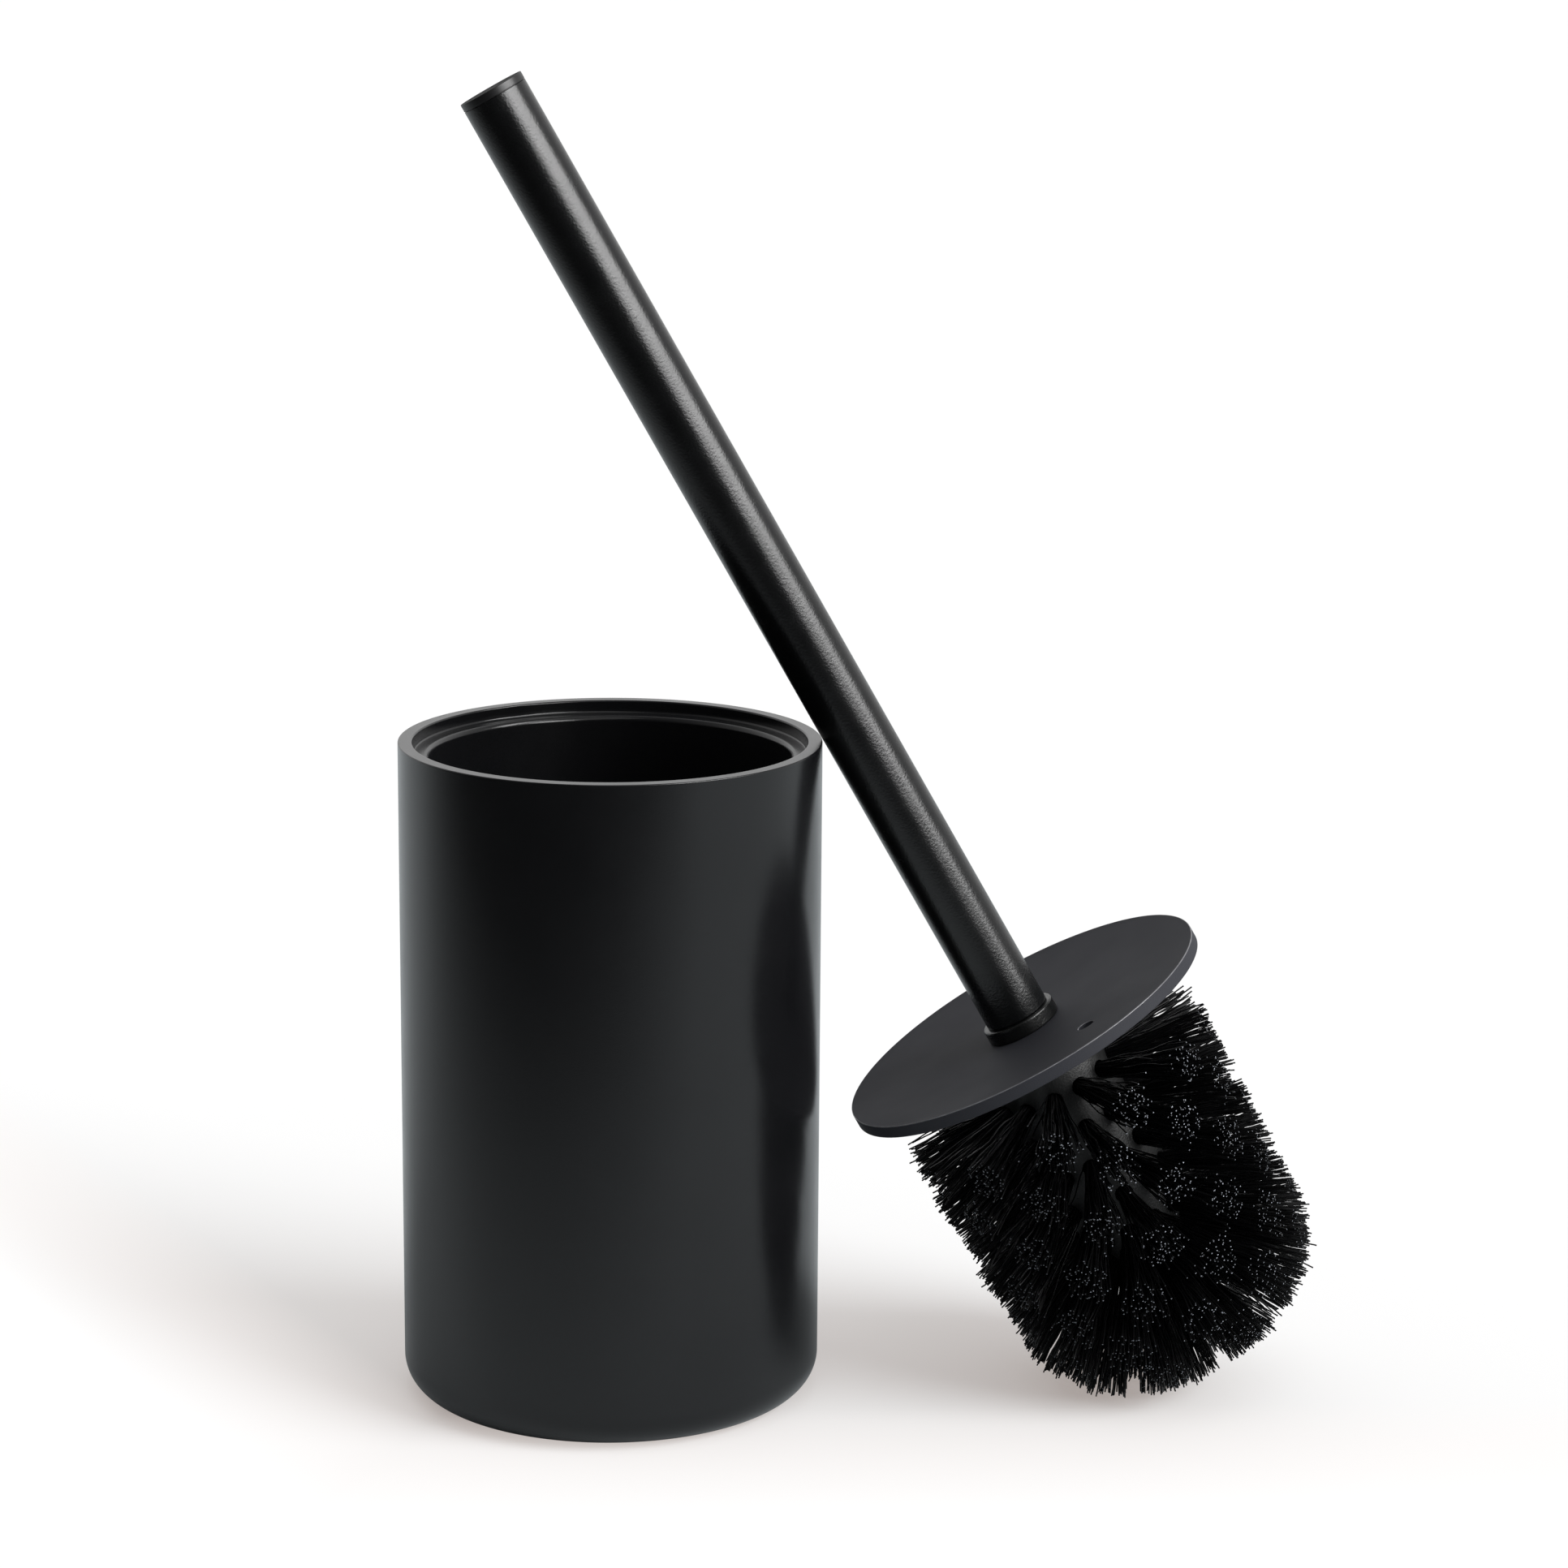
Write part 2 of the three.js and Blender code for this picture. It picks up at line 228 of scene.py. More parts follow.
# Lights: name, where each comes from, how wide it looks, its strength, and whether it lights
# dull surfaces too
LIGHTS = [
    ("window", (0.755, -0.4, 0.51), 38, 3.1, True),
    ("window_edge", (0.585, -0.766, 0.36), 24, 1.1, False),
    ("fill", (0.45, -0.6, 1.0), 70, 0.8, True),
]


# ---- mesh helpers ----


def new_object(name, vertices, faces, place=None, sharp=SHARP_ANGLE):
    """A smooth-shaded object from millimetre points, with edges over an angle kept sharp."""
    mesh = bpy.data.meshes.new(name)
    mesh.from_pydata(np.asarray(vertices, float) * MM, [], faces)
    if place is not None:
        mesh.transform(place)
    mesh.validate()
    mesh.shade_smooth()
    mesh.set_sharp_from_angle(angle=math.radians(sharp))
    piece = bpy.data.objects.new(name, mesh)
    bpy.context.scene.collection.objects.link(piece)
    return piece


def arc(x, y, radius, start, end, steps=8):
    """Points of an arc of a profile, from one angle in degrees to another."""
    angles = np.radians(np.linspace(start, end, steps + 1))
    return [(x + radius * math.cos(a), y + radius * math.sin(a)) for a in angles]


def held(profile):
    """The profile with a point close to each end of its long edges, so flat faces stay flat."""
    points = [profile[0]]
    for (x0, y0), (x1, y1) in zip(profile, profile[1:]):
        length = math.hypot(x1 - x0, y1 - y0)
        if length > 6 * HOLD:
            for share in (HOLD / length, 1 - HOLD / length):
                points.append((x0 + (x1 - x0) * share, y0 + (y1 - y0) * share))
        points.append((x1, y1))
    return points


def turned_mesh(rows, segments, closed=False):
    """Points and faces of a solid of revolution about Z.

    A row is (radius, height). Its radius is one number or one for each segment, and 0 is a pole.
    The rows run from the bottom up the outside.
    """
    angles = np.arange(segments) * 2 * math.pi / segments
    vertices = []
    rings = []
    for radius, height in rows:
        start = len(vertices)
        if np.ndim(radius) == 0 and radius == 0:
            vertices.append((0, 0, height))
            rings.append([start] * segments)
            continue
        x = radius * np.cos(angles)
        y = radius * np.sin(angles)
        vertices += list(zip(x, y, np.full(segments, float(height))))
        rings.append(list(range(start, start + segments)))
    if closed:
        rings.append(rings[0])
    faces = []
    for low, high in zip(rings, rings[1:]):
        for i in range(segments):
            j = (i + 1) % segments
            corners = [low[i], low[j], high[j], high[i]]
            faces.append(list(dict.fromkeys(corners)))
    return vertices, faces


def turned(name, rows, segments, place=None, closed=False):
    vertices, faces = turned_mesh(rows, segments, closed)
    return new_object(name, vertices, faces, place)


def mark(piece, segments, first, last):
    """Gives a turned piece's rows of faces from first up to last its second material."""
    for face in piece.data.polygons[first * segments : last * segments]:
        face.material_index = 1


def joined(parts):
    """Points and faces of several meshes as one."""
    vertices = []
    faces = []
    for more_vertices, more_faces in parts:
        start = len(vertices)
        vertices += list(more_vertices)
        faces += [[start + i for i in face] for face in more_faces]
    return vertices, faces


def weld(mesh):
    """Takes away edges and faces that are too small to see."""
    edited = bmesh.new()
    edited.from_mesh(mesh)
    bmesh.ops.remove_doubles(edited, verts=edited.verts, dist=WELD_REACH * MM)
    bmesh.ops.dissolve_degenerate(edited, dist=WELD_REACH * MM, edges=edited.edges)
    edited.to_mesh(mesh)
    edited.free()


def carve(piece, cutter):
    """Cuts one object out of another and removes the cutter."""
    modifier = piece.modifiers.new("carve", "BOOLEAN")
    modifier.operation = "DIFFERENCE"
    modifier.solver = "EXACT"
    modifier.use_self = True
    modifier.object = cutter
    graph = bpy.context.evaluated_depsgraph_get()
    carved = bpy.data.meshes.new_from_object(piece.evaluated_get(graph))
    piece.modifiers.remove(modifier)
    piece.data = carved
    bpy.data.objects.remove(cutter)
    weld(carved)
    carved.shade_smooth()
    carved.set_sharp_from_angle(angle=math.radians(SHARP_ANGLE))


def paint(piece, surfaces):
    """Appends a piece's materials."""
    for surface in surfaces:
        piece.data.materials.append(surface)


def stand_for(piece, body, surfaces, nodes=()):
    """Gives a piece its body, its materials and the nodes that it replaces."""
    paint(piece, surfaces)
    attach(piece, body)
    if nodes:
        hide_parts(*nodes)


# ---- material helpers ----


def new_surface(name, colour, roughness, specular=0.5):
    """A material and its shader."""
    surface = bpy.data.materials.new(name)
    surface.use_nodes = True
    nodes = surface.node_tree.nodes
    shader = nodes["Principled BSDF"]
    shader.inputs["Base Color"].default_value = (*colour, 1)
    shader.inputs["Roughness"].default_value = roughness
    shader.inputs["Specular IOR Level"].default_value = specular
    return surface, shader


def noise(surface, size, detail):
    """A noise texture whose lumps are about size millimetres across."""
    tree = surface.node_tree
    coordinates = tree.nodes.new("ShaderNodeTexCoord")
    texture = tree.nodes.new("ShaderNodeTexNoise")
    texture.inputs["Scale"].default_value = 1 / (size * MM)
    texture.inputs["Detail"].default_value = detail
    tree.links.new(coordinates.outputs["Object"], texture.inputs["Vector"])
    return texture.outputs["Fac"]


def remapped(surface, value, low, high, start=0.3, end=0.7):
    """A value brought from start..end to low..high."""
    tree = surface.node_tree
    span = tree.nodes.new("ShaderNodeMapRange")
    span.inputs["From Min"].default_value = start
    span.inputs["From Max"].default_value = end
    span.inputs["To Min"].default_value = low
    span.inputs["To Max"].default_value = high
    tree.links.new(value, span.inputs["Value"])
    return span.outputs["Result"]


def blended(surface, factor, first, second):
    """A colour between two, by a factor."""
    tree = surface.node_tree
    mix = tree.nodes.new("ShaderNodeMix")
    mix.data_type = "RGBA"
    mix.inputs["A"].default_value = (*first, 1)
    mix.inputs["B"].default_value = (*second, 1)
    tree.links.new(factor, mix.inputs["Factor"])
    return mix.outputs["Result"]


def relief(surface, shader, heights):
    """Bumps in turn, from pairs of a height value and a depth in millimetres."""
    tree = surface.node_tree
    last = None
    for value, depth in heights:
        bump = tree.nodes.new("ShaderNodeBump")
        bump.inputs["Distance"].default_value = depth * MM
        tree.links.new(value, bump.inputs["Height"])
        if last is not None:
            tree.links.new(last, bump.inputs["Normal"])
        last = bump.outputs["Normal"]
    tree.links.new(last, shader.inputs["Normal"])


def textured(name, colours, roughness, mottle, grain, depth, specular=0.5, peel=None):
    """A moulded or coated surface: two close colours, uneven gloss and a fine grain.

    colours and roughness are each a pair, mottle and grain are sizes of lumps in millimetres,
    and peel is the size and depth of a coarser relief.
    """
    surface, shader = new_surface(name, colours[0], roughness[0], specular)
    tree = surface.node_tree
    cloud = noise(surface, mottle, 3)
    colour = blended(surface, remapped(surface, cloud, 0, 1), *colours)
    tree.links.new(colour, shader.inputs["Base Color"])
    gloss = remapped(surface, noise(surface, mottle * 0.6, 4), *roughness)
    tree.links.new(gloss, shader.inputs["Roughness"])
    heights = [(noise(surface, grain, 2), depth)]
    if peel:
        heights.append((noise(surface, peel[0], 1), peel[1]))
    relief(surface, shader, heights)
    return surface


# ---- materials ----


def cup_plastic():
    return textured(
        "matte_black_plastic",
        colours=((0.0046, 0.0048, 0.0054), (0.0058, 0.006, 0.0067)),
        roughness=(0.19, 0.23),
        mottle=18,
        grain=0.3,
        depth=0.012,
        specular=0.42,
    )


def pad_rubber():
    return textured(
        "foam_rubber",
        colours=((0.010, 0.010, 0.011), (0.018, 0.018, 0.019)),
        roughness=(0.8, 0.95),
        mottle=3,
        grain=0.5,
        depth=0.12,
        specular=0.3,
    )


def powder_coat():
    return textured(
        "satin_powder_coat",
        colours=((0.0025, 0.0028, 0.003), (0.0035, 0.0038, 0.0041)),
        roughness=(0.22, 0.28),
        mottle=9,
        grain=0.32,
        depth=0.022,
        specular=0.5,
        peel=(0.6, 0.038),
    )


def cap_plastic():
    return textured(
        "satin_cap_plastic",
        colours=((0.005, 0.005, 0.0055), (0.0062, 0.0062, 0.0066)),
        roughness=(0.34, 0.42),
        mottle=5,
        grain=0.3,
        depth=0.006,
    )


def cap_top():
    """The cap's end face, dull enough to stay dark when seen nearly edge on."""
    return textured(
        "dull_cap_top",
        colours=((0.0075, 0.0075, 0.008), (0.0095, 0.0095, 0.01)),
        roughness=(0.6, 0.7),
        mottle=5,
        grain=0.3,
        depth=0.02,
        specular=0.08,
    )


def bush_plastic():
    return textured(
        "semi_gloss_plastic",
        colours=((0.0028, 0.0031, 0.003), (0.0038, 0.0042, 0.004)),
        roughness=(0.24, 0.34),
        mottle=4,
        grain=0.45,
        depth=0.06,
    )


def lid_rubber():
    return textured(
        "dusty_grey_rubber",
        colours=((0.029, 0.0298, 0.0365), (0.0322, 0.033, 0.0398)),
        roughness=(0.66, 0.72),
        mottle=24,
        grain=0.3,
        depth=0.03,
        specular=0.2,
    )


def lid_edge_smooth_and_painted_highlight():
    """The lid's upper edge and the vent's rim: smoother than the faces, and painted several times
    lighter than the lid's rubber as a painted highlight line.
    """
    return textured(
        "smooth_rubber_edge_painted_highlight",
        # Light grey colours: a painted highlight, not the rubber's own colour
        colours=((0.09, 0.09, 0.1), (0.2, 0.2, 0.215)),
        roughness=(0.3, 0.45),
        mottle=2.5,
        grain=0.22,
        depth=0.01,
        specular=0.8,
    )


def core_plastic():
    return textured(
        "glossy_core_plastic",
        colours=((0.006, 0.0062, 0.0062), (0.008, 0.0082, 0.0082)),
        roughness=(0.34, 0.46),
        mottle=5,
        grain=0.5,
        depth=0.07,
        specular=0.28,
    )


def filament_nylon():
    surface, shader = new_surface("black_nylon", (0.003, 0.003, 0.0033), 0.32, 0.25)
    gloss = remapped(surface, noise(surface, 6, 2), 0.26, 0.44)
    surface.node_tree.links.new(gloss, shader.inputs["Roughness"])
    shade = noise(surface, 2.5, 1)
    colour = blended(surface, shade, (0.0016, 0.0016, 0.0019), (0.0038, 0.0038, 0.0042))
    surface.node_tree.links.new(colour, shader.inputs["Base Color"])
    return surface


def filament_end_painted_glints():
    # The cut ends of the black nylon are painted light grey in random spots: painted highlights
    # where the ends catch the light
    surface, shader = new_surface("cut_nylon_end_painted_glints", (0.2, 0.2, 0.21), 0.4)
    shade = remapped(surface, noise(surface, 0.5, 1), 0, 1, 0.42, 0.68)
    colour = blended(surface, shade, (0.008, 0.008, 0.01), (0.4, 0.42, 0.47))
    surface.node_tree.links.new(colour, shader.inputs["Base Color"])
    return surface


# ---- cup ----


def make_cup(surface):
    base = PAD_PROUD
    cavity_floor = PAD_THICKNESS + CUP_FLOOR_THICKNESS
    wall_foot = CAVITY_RADIUS - CUP_DRAFT
    pocket = PAD_RADIUS + SEAM
    edge = EDGE_ROUND
    foot_x = CUP_RADIUS - FOOT_FILLET
    foot_y = base + FOOT_FILLET
    ledge_x = CAVITY_RADIUS + LEDGE_EDGE_ROUND
    ledge_y = LEDGE_HEIGHT - LEDGE_EDGE_ROUND
    recess_x = RECESS_RADIUS - LEDGE_FILLET
    recess_y = LEDGE_HEIGHT + LEDGE_FILLET
    floor_x = wall_foot - CAVITY_FLOOR_FILLET
    floor_y = cavity_floor + CAVITY_FLOOR_FILLET
    profile = held(
        [
            (0, PAD_THICKNESS),
            (pocket, PAD_THICKNESS),
            (pocket, base),
            *arc(foot_x, foot_y, FOOT_FILLET, -88, 0, 24),
            *arc(CUP_RADIUS - RIM_EDGE, CUP_HEIGHT - RIM_EDGE, RIM_EDGE, 0, 90),
            *arc(RECESS_RADIUS + edge, CUP_HEIGHT - edge, edge, 90, 180),
            *arc(recess_x, recess_y, LEDGE_FILLET, 0, -90, 6),
            *arc(ledge_x, ledge_y, LEDGE_EDGE_ROUND, 90, 180, 12),
            *arc(floor_x, floor_y, CAVITY_FLOOR_FILLET, 0, -90, 12),
            (0, cavity_floor),
        ]
    )
    cup = turned("cup_shell", profile, CUP_SEGMENTS)
    stand_for(cup, "cup", [surface], ["cup_body"])


def make_pad(surface):
    top = PAD_THICKNESS - SEAM
    profile = held(
        [
            (0, 0),
            *arc(PAD_RADIUS - EDGE_ROUND, EDGE_ROUND, EDGE_ROUND, -90, 0),
            *arc(PAD_RADIUS - EDGE_ROUND, top - EDGE_ROUND, EDGE_ROUND, 0, 90),
            (0, top),
        ]
    )
    pad = turned("anti_slip_pad", profile, PAD_SEGMENTS)
    stand_for(pad, "cup", [surface], ["base_pad"])


# ---- handle ----


def make_tube(place, surface):
    edge = EDGE_ROUND / 2
    profile = held(
        [
            (TUBE_BORE, COLLAR_HEIGHT),
            *arc(TUBE_RADIUS - edge, COLLAR_HEIGHT + edge, edge, -90, 0, 4),
            *arc(TUBE_RADIUS - SEAM, TUBE_TOP - SEAM, SEAM, 0, 90, 3),
            (TUBE_BORE, TUBE_TOP),
        ]
    )
    tube = turned("coated_tube", profile, HANDLE_SEGMENTS, place, closed=True)
    stand_for(tube, "handle", [surface], ["handle_tube"])


def make_cap(place, surfaces):
    seat = TUBE_TOP + 2 * SEAM
    top = TUBE_TOP + CAP_GAP + CAP_THICKNESS
    foot = seat - CAP_PLUG_LENGTH
    edge = EDGE_ROUND
    profile = held(
        [
            (0, foot),
            *arc(PLUG_RADIUS - edge, foot + edge, edge, -90, 0, 4),
            (PLUG_RADIUS, seat),
            *arc(TUBE_RADIUS - SEAM, seat + SEAM, SEAM, -90, 0, 3),
            *arc(TUBE_RADIUS - CAP_EDGE, top - CAP_EDGE, CAP_EDGE, 0, 90, 5),
            (0, top),
        ]
    )
    cap = turned("flush_cap", profile, HANDLE_SEGMENTS, place)
    last_row = len(profile) - 1
    mark(cap, HANDLE_SEGMENTS, last_row - CAP_TOP_ROWS, last_row)
    stand_for(cap, "handle", surfaces, ["handle_cap"])


def thread_rows(root_radius, widening, heights, segments):
    """Rows of a helical ridge, or of the groove for it when it is widened."""
    turn = np.arange(segments) / segments
    rows = []
    for height in heights:
        phase = (height / THREAD_PITCH - 0.5 - turn) % 1
        away = np.minimum(phase, 1 - phase) * THREAD_PITCH
        base = THREAD_BASE_WIDTH / 2 + widening
        crest = THREAD_CREST_WIDTH / 2 + widening
        rise = np.clip((base - away) / (base - crest), 0, 1)
        rows.append((root_radius + THREAD_DEPTH * rise, height))
    return rows


def make_bush(place, surface):
    plug_top = COLLAR_HEIGHT + BUSH_PLUG_LENGTH
    flange_top = COLLAR_HEIGHT - SEAM
    bore = STUD_ROOT_RADIUS + THREAD_CLEARANCE
    lead_in = bore + THREAD_DEPTH
    edge = EDGE_ROUND / 2
    flange_x = COLLAR_RADIUS - edge
    chamfer_x = COLLAR_RADIUS - COLLAR_CHAMFER
    chamfer_y = flange_top - COLLAR_CHAMFER
    outside = held(
        [
            (lead_in, SEAM),
            *arc(flange_x, SEAM + edge, edge, -90, 0, 4),
            *arc(chamfer_x, chamfer_y, COLLAR_CHAMFER, 0, 90, 5),
            (PLUG_RADIUS, flange_top),
            *arc(PLUG_RADIUS - EDGE_ROUND, plug_top - EDGE_ROUND, EDGE_ROUND, 0, 90, 4),
            (lead_in, plug_top),
        ]
    )
    heights = np.arange(plug_top - BUSH_THREAD_MARGIN, SEAM + THREAD_START, -THREAD_STEP)
    rows = outside + thread_rows(bore, THREAD_CLEARANCE, heights, HANDLE_SEGMENTS)
    bush = turned("threaded_collar", rows, HANDLE_SEGMENTS, place, closed=True)
    stand_for(bush, "handle", [surface], ["thread_bush"])


# ---- lid ----


def lid_rise(radius):
    """Height of the lid's top face at a distance from its axis."""
    outward = max(0, radius - CORE_RADIUS) / (LID_RADIUS - CORE_RADIUS)
    return LID_DISH * outward**2


def make_lid(place, surfaces):
    edge = LID_EDGE
    radii = np.linspace(CORE_RADIUS, LID_RADIUS - edge - LID_FACE_MARGIN, LID_FACE_ROWS)
    face = [(r, lid_rise(r)) for r in radii]
    rim_top = lid_rise(LID_RADIUS)
    low_edge = rim_top - LID_THICKNESS + edge
    below = [
        (STUD_CREST_RADIUS + LID_HOLE_ROOM, -LID_THICKNESS),
        *[(r, h - LID_THICKNESS) for r, h in face],
        *arc(LID_RADIUS - edge, low_edge, edge, -90, 0, 5),
        (LID_RADIUS, low_edge + HOLD),
        (LID_RADIUS, rim_top - edge - HOLD),
    ]
    corner = arc(LID_RADIUS - edge, rim_top - edge, edge, 0, 90, 5)
    rows = [*below, *corner, *face[::-1], (STUD_CREST_RADIUS + LID_HOLE_ROOM, 0)]
    lid = turned("splash_lid", rows, LID_SEGMENTS, place, closed=True)
    paint(lid, surfaces)
    # The upper edge's rows take the second material: a painted highlight line
    mark(lid, LID_SEGMENTS, len(below), len(below) + len(corner) - 1)
    top = lid_rise(VENT_REACH)
    funnel = [
        (0, -LID_THICKNESS - 1),
        (VENT_RADIUS, -LID_THICKNESS - 1),
        (VENT_RADIUS, top - VENT_CHAMFER),
        (VENT_RADIUS + 2 * VENT_CHAMFER, top + VENT_CHAMFER),
        (0, top + VENT_CHAMFER),
    ]
    at = Vector((VENT_REACH * math.cos(VENT_ANGLE), VENT_REACH * math.sin(VENT_ANGLE), 0))
    vent = turned("vent", funnel, VENT_SEGMENTS, place @ Matrix.Translation(at * MM))
    paint(vent, surfaces)
    # The vent's chamfer takes it too: a painted highlight ring
    mark(vent, VENT_SEGMENTS, 2, 3)
    carve(lid, vent)
    stand_for(lid, "lid", [], ["lid_disc"])


# ---- brush head ----


def core_radius_at(depth):
    """Radius of the core at a depth below the lid's top."""
    along = min(1, max(0, depth - CORE_STRAIGHT_END) / (CORE_END - CORE_STRAIGHT_END))
    return CORE_RADIUS * math.sqrt(1 - along**2)


def bristle_radius_at(depth):
    """Radius that the trimmed filaments reach at each depth below the lid's top."""
    along = np.clip((depth - BRISTLE_SHOULDER) / (BRISTLE_END - BRISTLE_SHOULDER), 0, 1)
    narrowed = BRISTLE_NARROWING * np.clip(depth / BRISTLE_SHOULDER, 0, 1)
    return (BRISTLE_RADIUS - narrowed) * (1 - along**2) ** BRISTLE_ROUNDNESS


def tufts_of(root, tip, count, turn, spread):
    """Root and tip points of the tufts of a ring, upright, and how far their tips spread."""
    tufts = []
    tip_radius = float(bristle_radius_at(np.array(tip, float)))
    for i in range(count):
        angle = math.radians(turn + 360 * i / count)
        outward = np.array([math.cos(angle), math.sin(angle), 0])
        from_point = outward * core_radius_at(root) + (0, 0, -root)
        to_point = outward * tip_radius + (0, 0, -tip)
        tufts.append((from_point, to_point, spread))
    return tufts


def across(direction):
    """Two unit vectors at right angles to a direction and to each other."""
    side = np.cross(direction, (0, 0, 1))
    if np.linalg.norm(side) < 0.1:
        side = np.cross(direction, (1, 0, 0))
    side = side / np.linalg.norm(side)
    return side, np.cross(direction, side)


def make_core(place, tufts, surface):
    depths = CORE_STRAIGHT_END + (CORE_END - CORE_STRAIGHT_END) * np.cos(
        np.linspace(0, math.pi / 2, CORE_END_STEPS)[1:-1]
    )
    shoulder = -LID_THICKNESS - SEAM
    edge = EDGE_ROUND / 2
    heights = np.arange(THREAD_START, STUD_LENGTH - STUD_PLAIN_END, THREAD_STEP)
    rows = [
        (0, -CORE_END),
        *[(core_radius_at(depth), -depth) for depth in depths],
        (CORE_RADIUS, -CORE_STRAIGHT_END),
        *arc(CORE_RADIUS - edge, shoulder - edge, edge, 0, 90, 4),
        (STUD_ROOT_RADIUS, shoulder),
        *thread_rows(STUD_ROOT_RADIUS, 0, heights, CORE_SEGMENTS),
        (STUD_ROOT_RADIUS, STUD_LENGTH - STUD_CHAMFER),
        (STUD_ROOT_RADIUS - STUD_CHAMFER, STUD_LENGTH),
        (0, STUD_LENGTH),
    ]
    core = turned("head_core_moulding", rows, CORE_SEGMENTS, place)
    holes = []
    for root, tip, _ in tufts:
        direction = (tip - root) / np.linalg.norm(tip - root)
        side, up = across(direction)
        inside = [(0, -TUFT_HOLE_DEPTH), (TUFT_HOLE_RADIUS, -TUFT_HOLE_DEPTH)]
        outside = [(TUFT_HOLE_RADIUS, HOLE_OUTREACH), (0, HOLE_OUTREACH)]
        points, faces = turned_mesh([*inside, *outside], HOLE_SEGMENTS)
        turn = np.array([side, up, direction])
        holes.append((np.array(points) @ turn + root, faces))
    carve(core, new_object("holes", *joined(holes), place))
    stand_for(core, "head", [surface], ["head_core"])


def trimmed(root, tip, random):
    """Each tip moved along its filament to the trimmed shape, and a little past or short of it."""
    low, high = (np.full(len(tip), share) for share in TRIM_RANGE)
    for _ in range(TRIM_STEPS):
        middle = (low + high) / 2
        point = root + (tip - root) * middle[:, None]
        depth = -point[:, 2]
        reach = np.hypot(point[:, 0], point[:, 1])
        inside = (reach < bristle_radius_at(depth)) & (depth < BRISTLE_END)
        low = np.where(inside, middle, low)
        high = np.where(inside, high, middle)
    end = root + (tip - root) * low[:, None]
    length = np.linalg.norm(end - root, axis=1, keepdims=True)
    return end + (end - root) / length * random.normal(0, LENGTH_SCATTER, (len(tip), 1))


def filament_paths(root, tip, tip_spread, random):
    """Centre lines of one tuft's filaments, upright, as filaments by steps by 3."""
    count = FILAMENTS_PER_TUFT
    direction = (tip - root) / np.linalg.norm(tip - root)
    side, up = across(direction)
    index = np.arange(count)
    angle = index * math.pi * (3 - math.sqrt(5)) + random.uniform(0, 2 * math.pi)
    share = np.sqrt((index + 0.5) / count)
    spread = np.stack([share * np.cos(angle), share * np.sin(angle)], 1)
    frame = np.stack([side, up])
    start = root - direction * (TUFT_HOLE_DEPTH - TUFT_ROOT_GAP) + spread * TUFT_ROOT_SPREAD @ frame
    scatter = random.normal(0, TIP_SCATTER, (count, 2))
    stray = random.uniform(size=(count, 1)) < STRAY_SHARE
    scatter += stray * random.normal(0, STRAY_SCATTER, (count, 2))
    end = trimmed(start, tip + (spread * tip_spread + scatter) @ frame, random)

    along = np.linspace(0, 1, FILAMENT_STEPS + 1)[None, :, None]
    straight = start[:, None] + (end - start)[:, None] * along
    # The tuft stays tight where it leaves its hole, and opens after that.
    opening = spread * (tip_spread - TUFT_ROOT_SPREAD) @ frame
    tight = (along**TUFT_TIGHTNESS - along) * opening[:, None]
    bend = random.normal(0, BEND, (count, 2)) @ frame
    wave = random.normal(0, WAVE, (count, 2)) @ frame
    length = np.linalg.norm(end - start, axis=1)[:, None, None]
    phase = random.uniform(0, 2 * math.pi, (count, 1, 1))
    ripple = np.sin(2 * math.pi * along * length / WAVE_LENGTH + phase)
    ripple *= np.minimum(1, WAVE_ONSET * along)
    return straight + tight + bend[:, None] * (along**2 - along) * 2 + wave[:, None] * ripple


def filament_mesh(paths):
    """Points, faces and end-face flags of round filaments about centre lines."""
    count, points = paths.shape[:2]
    mean = paths[:, -1] - paths[:, 0]
    mean /= np.linalg.norm(mean, axis=1, keepdims=True)
    side = np.cross(mean, OFF_AXIS)
    side /= np.linalg.norm(side, axis=1, keepdims=True)
    up = np.cross(mean, side)
    angles = np.arange(FILAMENT_SIDES) * 2 * math.pi / FILAMENT_SIDES
    cosines = np.cos(angles)[None, :, None]
    sines = np.sin(angles)[None, :, None]
    section = side[:, None] * cosines + up[:, None] * sines
    vertices = paths[:, :, None] + FILAMENT_RADIUS * section[:, None]
    number = np.arange(count * points * FILAMENT_SIDES).reshape(count, points, FILAMENT_SIDES)
    beside = np.roll(number, -1, axis=2)
    walls = np.stack([number[:, :-1], beside[:, :-1], beside[:, 1:], number[:, 1:]], -1)
    faces = walls.reshape(-1, 4).tolist()
    faces += number[:, 0, ::-1].tolist()
    faces += number[:, -1].tolist()
    ends = np.zeros(len(faces), int)
    ends[-count:] = 1
    return vertices.reshape(-1, 3), faces, ends


def above_floor(paths, place):
    """Paths in the row frame, bent so that no filament goes into the floor."""
    turn = np.array(place.to_3x3())
    shift = np.array(place.translation) / MM
    world = paths @ turn.T + shift
    height = world[..., 2]
    room = FLOOR_BEND_START - FLOOR_CLEAR
    bent = FLOOR_CLEAR + room * np.exp((height - FLOOR_BEND_START) / room)
    world[..., 2] = np.where(height < FLOOR_BEND_START, bent, height)
    return world


def make_tufts(name, tufts, place, surfaces, nodes, random):
    paths = np.concatenate([filament_paths(*tuft, random) for tuft in tufts])
    vertices, faces, ends = filament_mesh(above_floor(paths, place))
    piece = new_object(name, vertices, faces, sharp=60)
    stand_for(piece, "head", surfaces, nodes)
    # End faces take the second material, whose light colour is a painted highlight
    piece.data.polygons.foreach_set("material_index", ends)


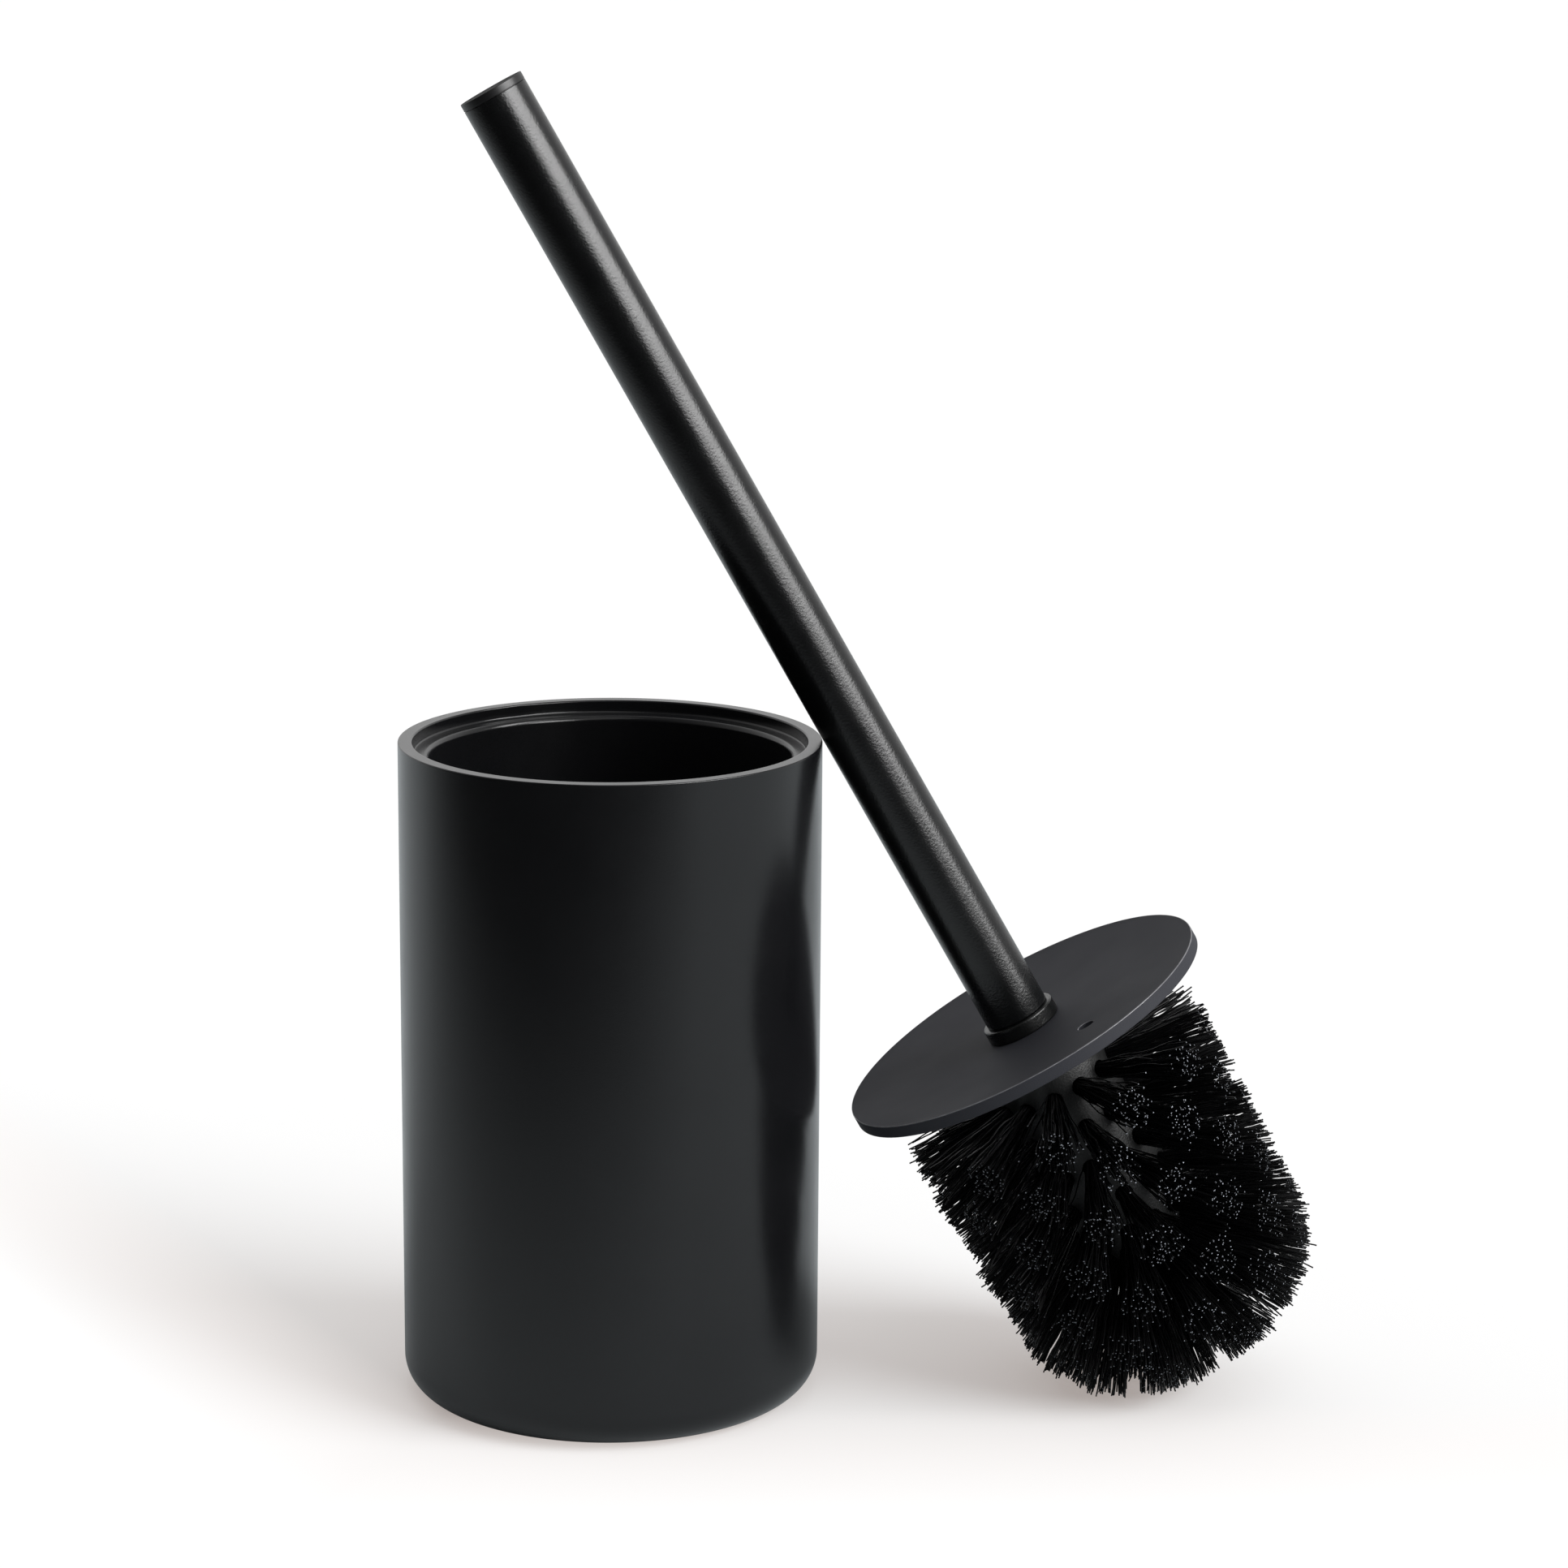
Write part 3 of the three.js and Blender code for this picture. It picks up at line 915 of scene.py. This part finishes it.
def make_head(place, nodes, core_surface, filament_surfaces):
    random = np.random.default_rng(SEED)
    rings = [(name, tufts_of(*layout), solid) for name, *layout, solid in TUFT_RINGS]
    middle = (np.array([0, 0, -CORE_END]), np.array([0, 0, -BRISTLE_END]), MIDDLE_SPREAD)
    end_tufts = [*tufts_of(*END_RING), middle]
    every = [tuft for _, tufts, _ in rings for tuft in tufts] + end_tufts
    make_core(place, every, core_surface)
    for name, tufts, solid in rings:
        owned = [node for node in nodes if node.startswith(f"tuft_{name}_")] if solid else []
        make_tufts(f"filaments_{name}", tufts, place, filament_surfaces, owned, random)
    make_tufts("filaments_end", end_tufts, place, filament_surfaces, ["tuft_tip"], random)


# ---- stage ----


def fade_over(surface, slant, start, end):
    """A factor that falls from 1 to 0 along Y, with X counted in by the slant."""
    tree = surface.node_tree
    coordinates = tree.nodes.new("ShaderNodeTexCoord")
    parts = tree.nodes.new("ShaderNodeSeparateXYZ")
    along = tree.nodes.new("ShaderNodeMath")
    along.operation = "MULTIPLY_ADD"
    along.inputs[1].default_value = slant
    tree.links.new(coordinates.outputs["Object"], parts.inputs["Vector"])
    tree.links.new(parts.outputs["X"], along.inputs[0])
    tree.links.new(parts.outputs["Y"], along.inputs[2])
    return remapped(surface, along.outputs["Value"], 1, 0, start, end)


def combined(surface, operation, first, second):
    """One number from two, by a named operation."""
    tree = surface.node_tree
    node = tree.nodes.new("ShaderNodeMath")
    node.operation = operation
    tree.links.new(first, node.inputs[0])
    tree.links.new(second, node.inputs[1])
    return node.outputs["Value"]


def make_floor():
    """A pale floor that glows in camera rays alone, and is nearly black in front to all others.

    In camera rays its shadows also fade out in front and at the left, by the place on the floor.
    """
    half = FLOOR_HALF
    corners = [(-half, -half), (half, -half), (half, half), (-half, half)]
    mesh = bpy.data.meshes.new("floor")
    mesh.from_pydata([(x, y, -FLOOR_DROP) for x, y in corners], [], [(0, 1, 2, 3)])
    floor = bpy.data.objects.new("floor", mesh)
    bpy.context.scene.collection.objects.link(floor)
    surface, shader = new_surface("pale_floor", FLOOR_COLOUR, 0.9, 0.1)
    tree = surface.node_tree
    seen = tree.nodes.new("ShaderNodeLightPath").outputs["Is Camera Ray"]
    left = fade_over(surface, *LEFT_FADE)
    front = fade_over(surface, *FRONT_FADE)
    faded = combined(surface, "MAXIMUM", left, front)
    hidden = combined(surface, "MULTIPLY", faded, seen)
    dim = combined(surface, "MAXIMUM", fade_over(surface, *FLOOR_DIMS), hidden)
    colour = blended(surface, dim, FLOOR_COLOUR, DARK_FLOOR_COLOUR)
    tree.links.new(colour, shader.inputs["Base Color"])
    glow_colour = blended(surface, dim, FLOOR_GLOW_COLOUR, WHITE)
    tree.links.new(glow_colour, shader.inputs["Emission Color"])
    glow = combined(surface, "MULTIPLY", remapped(surface, dim, FLOOR_GLOW, 1, 0, 1), seen)
    tree.links.new(glow, shader.inputs["Emission Strength"])
    mesh.materials.append(surface)


def make_world():
    """A studio that is bright behind the object and dim behind the camera.

    Camera rays see it white, and glossy rays see its ceiling dimmed.
    """
    world = bpy.data.worlds.new("studio")
    bpy.context.scene.world = world
    world.use_nodes = True
    tree = world.node_tree
    background = tree.nodes["Background"]
    coordinates = tree.nodes.new("ShaderNodeTexCoord")
    parts = tree.nodes.new("ShaderNodeSeparateXYZ")
    tree.links.new(coordinates.outputs["Generated"], parts.inputs["Vector"])
    ramp = tree.nodes.new("ShaderNodeValToRGB")
    for place, _ in STUDIO_LEVELS[1:-1]:
        ramp.color_ramp.elements.new(place)
    for element, (place, level) in zip(ramp.color_ramp.elements, STUDIO_LEVELS):
        element.position = place
        element.color = (level, level, level, 1)
    behind = remapped(world, parts.outputs["Y"], 0, 1, -1, 1)
    tree.links.new(behind, ramp.inputs["Fac"])
    seen = tree.nodes.new("ShaderNodeLightPath")
    mix = tree.nodes.new("ShaderNodeMix")
    mix.data_type = "RGBA"
    mix.inputs["B"].default_value = (*WHITE, 1)
    tree.links.new(ramp.outputs["Color"], mix.inputs["A"])
    tree.links.new(seen.outputs["Is Camera Ray"], mix.inputs["Factor"])
    tree.links.new(mix.outputs["Result"], background.inputs["Color"])
    ceiling = remapped(world, parts.outputs["Z"], 0, CEILING_DIMS, *CEILING_HEIGHTS)
    dimmed = combined(world, "MULTIPLY", ceiling, seen.outputs["Is Glossy Ray"])
    strength = remapped(world, dimmed, 1, 0, 0, 1)
    tree.links.new(strength, background.inputs["Strength"])


def make_light(name, direction, width, strength, diffuse):
    """A soft light from far away: where it comes from, how wide it looks and how strong it is.

    A light that isn't diffuse shows in glossy surfaces alone.
    """
    data = bpy.data.lights.new(name, "SUN")
    data.angle = math.radians(width)
    data.energy = strength
    lamp = bpy.data.objects.new(name, data)
    bpy.context.scene.collection.objects.link(lamp)
    lamp.rotation_euler = Vector(direction).to_track_quat("Z", "Y").to_euler()
    lamp.visible_diffuse = diffuse


def make_camera():
    data = bpy.data.cameras.new("camera")
    data.lens = CAMERA_LENS
    data.clip_end = 2 * FLOOR_HALF
    camera = bpy.data.objects.new("camera", data)
    bpy.context.scene.collection.objects.link(camera)
    camera.matrix_world = (
        Matrix.Translation(CAMERA_PLACE)
        @ Matrix.Rotation(-CAMERA_YAW, 4, "Z")
        @ Matrix.Rotation(math.pi / 2 - CAMERA_PITCH, 4, "X")
        @ Matrix.Rotation(CAMERA_ROLL, 4, "Z")
    )
    bpy.context.scene.camera = camera
    bpy.context.scene.view_settings.view_transform = "Standard"


# ---- the scene ----


def brush_place(joints):
    """The upright brush's frame in the row frame, from the joint that the head turns on."""
    screw = next(joint for joint in joints if joint["name"] == "head_unscrew")
    up = -Vector(screw["axis"]).normalized()
    across_axis = Vector((0, 1, 0))
    turn = Matrix((across_axis.cross(up), across_axis, up)).transposed()
    return Matrix.Translation(screw["pos_m"]) @ turn.to_4x4()


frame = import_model()
brush = brush_place(frame["joints"])

make_cup(cup_plastic())
make_pad(pad_rubber())
make_tube(brush, powder_coat())
make_cap(brush, [cap_plastic(), cap_top()])
make_bush(brush, bush_plastic())
make_lid(brush, [lid_rubber(), lid_edge_smooth_and_painted_highlight()])
make_head(brush, frame["nodes"], core_plastic(), [filament_nylon(), filament_end_painted_glints()])

make_floor()
make_world()
for light in LIGHTS:
    make_light(*light)
make_camera()
